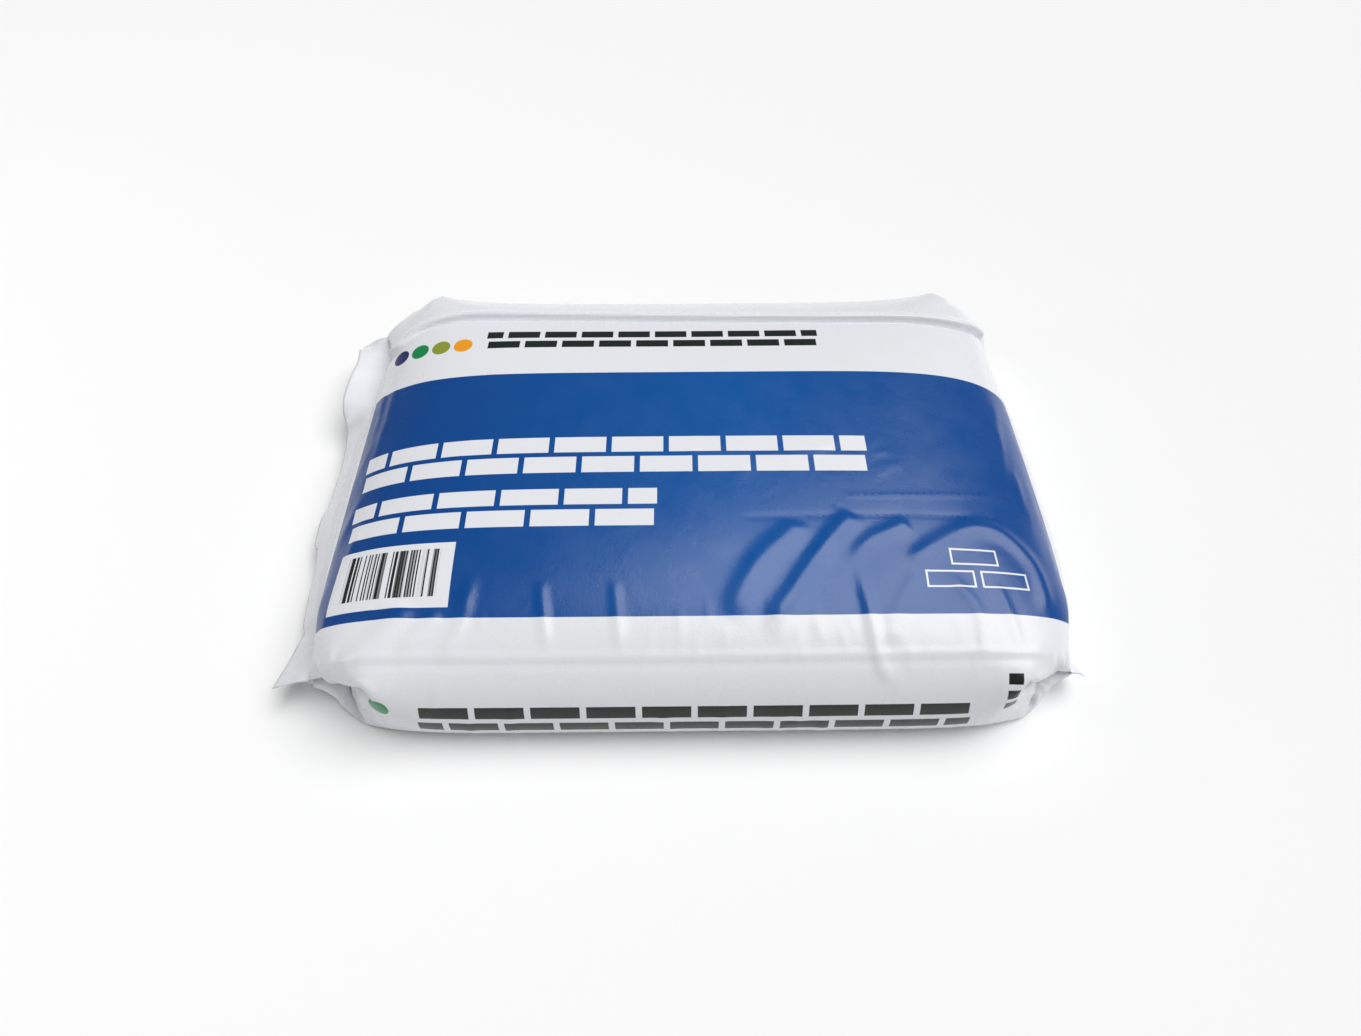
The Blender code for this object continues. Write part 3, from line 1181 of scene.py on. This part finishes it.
@dataclass
class VentPricks:
    """Rims of the fine needle holes that let the air out of the filled sack."""

    rows: tuple[VentRow, ...]
    rim_radius: float = 0.0009
    wire_radius: float = 0.00022
    least_size: float = 0.7
    seed: int = 3

    def places(self) -> np.ndarray:
        """Where the pricks lie on the flat film, in millimetres."""
        parts = []
        for row in self.rows:
            start, stop = np.array(row.start), np.array(row.stop)
            count = int(np.linalg.norm(stop - start) / row.pitch)
            parts.append(start + (stop - start) * np.linspace(0, 1, count + 1)[:, None])
        return np.concatenate(parts)

    def seats(self, skin: FilmSkin, grid: np.ndarray) -> bpy.types.Mesh:
        """One vertex for each prick, with the film's direction and flat place there.

        Args:
            skin: The film's mesh, for its flat places.
            grid: The film's points.

        Returns:
            A mesh of loose vertices.
        """
        flat = self.places() * MM
        rows, columns = skin.row_places(), skin.flat_places()
        row = np.interp(flat[:, 0], rows, np.arange(len(rows)))
        column = np.interp(flat[:, 1], columns, np.arange(len(columns)))
        low_row, low_column = row.astype(int), column.astype(int)
        part_row, part_column = (row - low_row)[:, None], (column - low_column)[:, None]

        def blended(values: np.ndarray) -> np.ndarray:
            """Values between the four points round each prick."""
            near = values[low_row, low_column] * (1 - part_column) + \
                values[low_row, low_column + 1] * part_column
            far = values[low_row + 1, low_column] * (1 - part_column) + \
                values[low_row + 1, low_column + 1] * part_column
            return near * (1 - part_row) + far * part_row

        mesh = bpy.data.meshes.new("prick_seats")
        mesh.from_pydata(blended(grid), [], [])
        direction = mesh.attributes.new("film_direction", "FLOAT_VECTOR", "POINT")
        direction.data.foreach_set("vector", blended(outward_normals(grid)).reshape(-1))
        where = mesh.attributes.new("film_place", "FLOAT_VECTOR", "POINT")
        turned = np.stack([flat[:, 0] / FLAT_SPAN + 0.5, flat[:, 1] / skin.solver.tube.girth + 0.5,
                           np.zeros(len(flat))], axis=-1)
        where.data.foreach_set("vector", turned.reshape(-1))
        return mesh

    def tree(self, material: bpy.types.Material) -> bpy.types.NodeTree:
        """The nodes that set a closed rim on each vertex.

        Args:
            material: The film's material.

        Returns:
            The tree, with named inputs for its sizes.
        """
        tree = bpy.data.node_groups.new("vent_prick_rims", "GeometryNodeTree")
        face = tree.interface
        face.new_socket("Seats", in_out="INPUT", socket_type="NodeSocketGeometry")
        for name in ("Rim Radius", "Wire Radius", "Least Size"):
            face.new_socket(name, in_out="INPUT", socket_type="NodeSocketFloat")
        face.new_socket("Seed", in_out="INPUT", socket_type="NodeSocketInt")
        face.new_socket("Rims", in_out="OUTPUT", socket_type="NodeSocketGeometry")
        given = add_node(tree, "NodeGroupInput")
        rim = add_node(tree, "GeometryNodeCurvePrimitiveCircle", {
            "Resolution": 10, "Radius": given.outputs["Rim Radius"]})
        wire = add_node(tree, "GeometryNodeCurvePrimitiveCircle", {
            "Resolution": 5, "Radius": given.outputs["Wire Radius"]})
        ring = add_node(tree, "GeometryNodeCurveToMesh", {
            "Curve": rim.outputs["Curve"], "Profile Curve": wire.outputs["Curve"]})
        direction = add_node(tree, "GeometryNodeInputNamedAttribute", {"Name": "film_direction"},
                             data_type="FLOAT_VECTOR")
        upright = add_node(tree, "FunctionNodeAlignRotationToVector", {
            "Vector": direction.outputs["Attribute"]}, axis="Z")
        size = add_node(tree, "FunctionNodeRandomValue", {
            2: given.outputs["Least Size"], 3: 1.0, "Seed": given.outputs["Seed"]}, data_type="FLOAT")
        rings = add_node(tree, "GeometryNodeInstanceOnPoints", {
            "Points": given.outputs["Seats"], "Instance": ring.outputs["Mesh"],
            "Rotation": upright.outputs["Rotation"], "Scale": size.outputs[1]})
        where = add_node(tree, "GeometryNodeInputNamedAttribute", {"Name": "film_place"},
                         data_type="FLOAT_VECTOR")
        plain = add_node(tree, "GeometryNodeRealizeInstances", {"Geometry": rings.outputs["Instances"]})
        stored = add_node(tree, "GeometryNodeStoreNamedAttribute", {
            "Geometry": plain.outputs["Geometry"], "Name": FILM_UV, "Value": where.outputs["Attribute"]},
            data_type="FLOAT2", domain="CORNER")
        dressed = add_node(tree, "GeometryNodeSetMaterial", {
            "Geometry": stored.outputs["Geometry"], "Material": material})
        add_node(tree, "NodeGroupOutput", {"Rims": dressed.outputs["Geometry"]})
        return tree

    def build(self, name: str, skin: FilmSkin, grid: np.ndarray, material: bpy.types.Material) -> bpy.types.Object:
        """Make the rims' mesh.

        Args:
            name: The new object's name.
            skin: The film's mesh, for its flat places.
            grid: The film's points.
            material: The film's material.

        Returns:
            One mesh of closed rims, with no modifier left.
        """
        item = add_mesh_object(name, self.seats(skin, grid))
        modifier = item.modifiers.new("rims", "NODES")
        modifier.node_group = self.tree(material)
        values = {"Rim Radius": self.rim_radius, "Wire Radius": self.wire_radius,
                  "Least Size": self.least_size, "Seed": self.seed}
        for socket in modifier.node_group.interface.items_tree:
            if socket.name in values:
                modifier[socket.identifier] = values[socket.name]
        evaluated = item.evaluated_get(bpy.context.evaluated_depsgraph_get())
        made = bpy.data.meshes.new_from_object(evaluated)
        item.modifiers.clear()
        item.data = made
        made.shade_smooth()
        turn_outward(item)
        return item


FILM_UV = "film"
FLAT_SPAN = 0.640
COURSE_STROKE = 4.0
MARKS = (
    Mark(Figure.FULL, Ink.BLUE, Area(5.0, -39.5, 518, 206)),
    Mark(Figure.BRICKS, Ink.WHITE, Area(-58, -19, 361, 36), 40.1, COURSE_STROKE),
    Mark(Figure.BRICKS, Ink.WHITE, Area(-131, -64, 214, 34), 42.8, COURSE_STROKE),
    Mark(Figure.BRICKS, Ink.BLACK, Area(-29, 105, 262, 25), 29.1, COURSE_STROKE),
    Mark(Figure.BRICKS, Ink.BLACK, Area(-1, -210, 346, 26), 34.6, COURSE_STROKE),
    Mark(Figure.BRICKS, Ink.BLACK, Area(-1, 210, 346, 26), 34.6, COURSE_STROKE),
    Mark(Figure.FULL, Ink.WHITE, Area(-196, -112.5, 83, 46)),
    Mark(Figure.BARS, Ink.BLACK, Area(-196, -111, 65, 34), 0.95),
    Mark(Figure.DISC, Ink.NAVY, Area(-232, 100, 15, 15)),
    Mark(Figure.DISC, Ink.GREEN, Area(-214, 100, 15, 15)),
    Mark(Figure.DISC, Ink.OLIVE, Area(-196, 100, 15, 15)),
    Mark(Figure.DISC, Ink.ORANGE, Area(-178, 100, 15, 15)),
    Mark(Figure.DISC, Ink.GREEN, Area(-198, -202, 15, 15)),
    Mark(Figure.OUTLINE, Ink.WHITE, Area(163, -119, 32, 12), stroke=1.3),
    Mark(Figure.OUTLINE, Ink.WHITE, Area(199, -119, 32, 12), stroke=1.3),
    Mark(Figure.OUTLINE, Ink.WHITE, Area(181, -103, 32, 12), stroke=1.3),
    Mark(Figure.FULL, Ink.BLACK, Area(197, -183, 9, 7)),
    Mark(Figure.FULL, Ink.BLACK, Area(197, -194, 9, 7)),
    Mark(Figure.FULL, Ink.BLACK, Area(197, -205, 9, 7)),
)
VENT_ROWS = (VentRow((106, -56), (222, -50), 5.0), VentRow((76, -73), (208, -71), 5.0))


@dataclass
class Studio:
    """A pale floor, soft light and the camera."""

    focal: float = 842.0
    pitch: float = 53.0
    yaw: float = -0.6
    place: tuple[float, float, float] = (-0.0121, -0.4147, 0.5363)
    image_width: float = 1361.0
    sensor: float = 36.0

    def add_floor(self) -> None:
        """A plain pale floor."""
        work = bmesh.new()
        bmesh.ops.create_grid(work, x_segments=1, y_segments=1, size=6.0)
        mesh = bpy.data.meshes.new("floor")
        work.to_mesh(mesh)
        work.free()
        floor = bpy.data.objects.new("floor", mesh)
        bpy.context.scene.collection.objects.link(floor)
        material = bpy.data.materials.new("white_studio_paper")
        material.use_nodes = True
        shader = material.node_tree.nodes["Principled BSDF"]
        shader.inputs["Base Color"].default_value = linear_colour("#FAFAFA")
        shader.inputs["Roughness"].default_value = 0.9
        shader.inputs["Specular IOR Level"].default_value = 0.1
        mesh.materials.append(material)

    def add_light(self, name: str, place: tuple, aim: tuple, size: tuple[float, float], power: float) -> None:
        """One soft box.

        Args:
            name: The lamp's name.
            place: Where it stands.
            aim: What it faces.
            size: Width and height of its face.
            power: Its power in watts.
        """
        data = bpy.data.lights.new(name, "AREA")
        data.shape = "RECTANGLE"
        data.size, data.size_y = size
        data.energy = power
        lamp = bpy.data.objects.new(name, data)
        lamp.location = place
        toward = np.array(aim) - np.array(place)
        lamp.rotation_euler = direction_turn(toward)
        bpy.context.scene.collection.objects.link(lamp)

    def add_sun(self, name: str, toward: tuple, spread: float, strength: float) -> None:
        """A broad even light from one side of the sky.

        Args:
            name: The lamp's name.
            toward: The direction from the bag to the light.
            spread: How wide it looks, in degrees.
            strength: How bright it is.
        """
        data = bpy.data.lights.new(name, "SUN")
        data.angle = math.radians(spread)
        data.energy = strength
        lamp = bpy.data.objects.new(name, data)
        lamp.rotation_euler = direction_turn(-np.array(toward))
        bpy.context.scene.collection.objects.link(lamp)

    def add_world(self, strength: float) -> None:
        """Even white light from all round.

        Args:
            strength: How bright it is.
        """
        world = bpy.data.worlds.new("studio_room")
        world.use_nodes = True
        background = world.node_tree.nodes["Background"]
        background.inputs["Color"].default_value = (1.0, 1.0, 1.0, 1.0)
        background.inputs["Strength"].default_value = strength
        bpy.context.scene.world = world

    def add_camera(self, shift: float) -> None:
        """The camera at the photograph's place.

        Args:
            shift: How far the bag was moved along X.
        """
        data = bpy.data.cameras.new("camera")
        data.sensor_width = self.sensor
        data.lens = self.focal / self.image_width * self.sensor
        camera = bpy.data.objects.new("camera", data)
        x, y, z = self.place
        camera.location = (x + shift, y, z)
        camera.rotation_euler = (math.radians(90 - self.pitch), 0, math.radians(self.yaw))
        bpy.context.scene.collection.objects.link(camera)
        bpy.context.scene.camera = camera


def direction_turn(toward: np.ndarray) -> tuple[float, float, float]:
    """The turn that makes a lamp face a direction.

    Args:
        toward: The direction.

    Returns:
        Euler angles.
    """
    flat = math.hypot(toward[0], toward[1])
    return (math.atan2(flat, -toward[2]), 0.0, math.atan2(-toward[0], toward[1]))


SMALL_FOLDS = (
    CreaseGroup(60, -160, 150, 12, 90, 14, 16, 26, 2.6, 0.45),
    CreaseGroup(-40, -140, 170, 8, 90, 10, 10, 20, 2.4, 0.35),
    CreaseGroup(235, -60, 14, 90, 78, 10, 9, 60, 4.0, 0.8),
    CreaseGroup(-240, -20, 12, 110, 84, 12, 10, 55, 4.0, 0.8),
    CreaseGroup(150, -20, 70, 20, 28, 30, 6, 26, 3.0, 0.35),
    CreaseGroup(0, -205, 190, 22, 80, 25, 14, 30, 3.2, 0.5),
    CreaseGroup(-232, -196, 16, 30, 50, 40, 16, 30, 3.2, 1.4),
    CreaseGroup(-250, -236, 15, 20, 20, 70, 16, 24, 2.8, 1.9),
    CreaseGroup(-246, -172, 14, 8, 80, 40, 9, 18, 2.6, 1.2),
    CreaseGroup(232, -196, 16, 30, 130, 40, 14, 30, 3.2, 1.3),
    CreaseGroup(250, -236, 15, 20, 160, 70, 16, 24, 2.8, 1.9),
    CreaseGroup(246, -172, 14, 8, 100, 40, 9, 18, 2.6, 1.2),
    CreaseGroup(-232, 196, 16, 30, 130, 40, 14, 30, 3.2, 1.3),
    CreaseGroup(232, 196, 16, 30, 50, 40, 14, 30, 3.2, 1.3),
    CreaseGroup(0, 185, 220, 24, 85, 20, 14, 34, 3.4, 0.5),
    CreaseGroup(0, 0, 230, 60, 0, 90, 10, 60, 5.0, 0.25),
)
CORNER_TUCKS = (
    CornerTuck(-1, -1, (0.014, 0.001, 0.000), 0.060),
    CornerTuck(1, -1, (-0.019, 0.002, -0.002), 0.060),
    CornerTuck(1, 1, (-0.008, 0.0, 0.0), 0.050),
)
BACK_GROOVE_LINE = ((-262, 112), (-240, 114), (-225, 126), (-200, 134), (-154, 137), (10, 133),
                    (197, 128), (235, 131), (263, 135))
MIX_DENTS = (LongFold(BACK_GROOVE_LINE, 10.0, -6.0, 0.05),)
LONG_FOLDS = (
    LongFold(BACK_GROOVE_LINE, 3.0, -4.2, 0.05),
    LongFold(((-256, 118), (-236, 121), (-220, 133), (-195, 141), (-154, 144), (10, 140), (197, 135),
              (235, 138), (260, 142)), 4.2, 4.0, 0.05, -4.5),
    LongFold(((-236, -166), (-100, -167), (100, -167), (228, -166)), 2.3, 0.6, 0.04),
    LongFold(((-232, -171), (-100, -172), (100, -172), (224, -171)), 2.3, -0.5, 0.04),
    LongFold(((30, -73.5), (120, -72), (215, -71)), 1.8, -0.3, 0.05),
    LongFold(((100, -56), (160, -55), (226, -49)), 1.8, 0.22, 0.05),
    LongFold(((68, -76), (64, -84), (43, -105), (28, -130), (24, -148)), 7.5, 1.9),
    LongFold(((105, -70), (101, -76), (82, -99), (62, -127), (53, -140), (47, -162)), 6.0, 2.2),
    LongFold(((142, -78), (136, -81), (113, -93), (98, -112)), 5.0, 1.3),
    LongFold(((136, -112), (149, -100), (181, -81), (204, -82), (222, -101), (226, -123), (221, -145)),
             6.0, 1.9, 0.15),
    LongFold(((104, -106), (109, -140), (113, -169), (121, -188)), 4.2, 1.6),
    LongFold(((148, -110), (126, -141), (121, -165)), 6.0, 1.2),
    LongFold(((158, -112), (177, -141), (177, -178)), 4.0, 1.1),
    LongFold(((192, -120), (197, -142), (201, -165)), 3.4, 0.9),
    LongFold(((-140, -108), (-146, -147), (-158, -170)), 4.5, 1.0),
    LongFold(((-97, -116), (-95, -140), (-91, -166)), 3.2, 0.9),
    LongFold(((-51, -116), (-49, -140), (-48, -166)), 2.8, 0.8),
    LongFold(((-182, -130), (-187, -143), (-200, -160), (-226, -178)), 9.0, 2.4),
    LongFold(((-160, -138), (-166, -146), (-186, -168)), 4.5, 1.2),
)


LEFT_KNOTS = (
    FinKnot(-0.168, 0.029, 25), FinKnot(-0.130, 0.026, 22), FinKnot(-0.100, 0.026, 46),
    FinKnot(-0.070, 0.027, 56), FinKnot(-0.048, 0.024, 45), FinKnot(-0.046, 0.030, 43),
    FinKnot(-0.016, 0.030, 40), FinKnot(-0.014, 0.026, 44), FinKnot(0.030, 0.027, 48),
    FinKnot(0.070, 0.029, 38), FinKnot(0.085, 0.030, 0), FinKnot(0.120, 0.036, -14),
    FinKnot(0.150, 0.029, -5), FinKnot(0.168, 0.027, 35),
)
RIGHT_KNOTS = (FinKnot(-0.168, 0.012, 40), FinKnot(-0.155, 0.024, 70), FinKnot(0.168, 0.024, 72))


def solve_film(tube: FilmTube) -> FilmSolver:
    """Find the film's shape, roughly and then finely.

    Args:
        tube: The film tube.

    Returns:
        The solved film.
    """
    film = FilmSolver(tube, 0.008)
    film.settle(200)
    film = film.finer()
    film.settle(90)
    return film


def main() -> None:
    """Build the bag and the studio."""
    logging.basicConfig(level=logging.INFO, format="%(message)s")
    tube = FilmTube()
    solver = solve_film(tube)
    low, high = solver.points[..., 1].min(), solver.points[..., 1].max()
    shift = (BAG_SHIFT, -(low + high) / 2)
    skin = FilmSkin(solver, shift, CORNER_TUCKS)
    grid = skin.shaped_grid(WrinkleField(7, SMALL_FOLDS, LONG_FOLDS, tube))
    film = skin.build("film_skin", grid)
    across = skin.flat_places()[:skin.panel_steps + 1]
    left = WeldFin(-1, LEFT_KNOTS).build("left_weld_fin", grid[0, :skin.panel_steps + 1], across, tube)
    right = WeldFin(1, RIGHT_KNOTS).build("right_weld_fin", grid[-1, :skin.panel_steps + 1], across, tube)
    printed = PrintedFilm(MARKS).build(tube)
    for item in (film, left, right):
        item.data.materials.append(printed)
    pricks = VentPricks(VENT_ROWS).build("vent_pricks", skin, grid, printed)
    for item in (film, left, right, pricks):
        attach(item, "root")
        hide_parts("film_sack")
        LOG.info("%s: %d faces", item.name, len(item.data.polygons))
    mix = skin.build("mix_fill", MixFill(MIX_DENTS).grid(skin))
    mix.data.materials.append(DryMix().build())
    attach(mix, "root")
    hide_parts("sand_cement_mix")
    LOG.info("%s: %d faces", mix.name, len(mix.data.polygons))
    studio = Studio()
    studio.add_floor()
    studio.add_world(0.15)
    studio.add_sun("sky_light", (0.40, 0.10, 0.90), 55.0, 2.80)
    studio.add_light("left_box", (-1.4, -0.2, 0.7), (0.0, 0.0, 0.05), (0.4, 1.0), 2.0)
    studio.add_camera(BAG_SHIFT)
    view = bpy.context.scene.view_settings
    view.view_transform = "Standard"


BAG_SHIFT = 0.0053

if __name__ == "__main__":
    main()
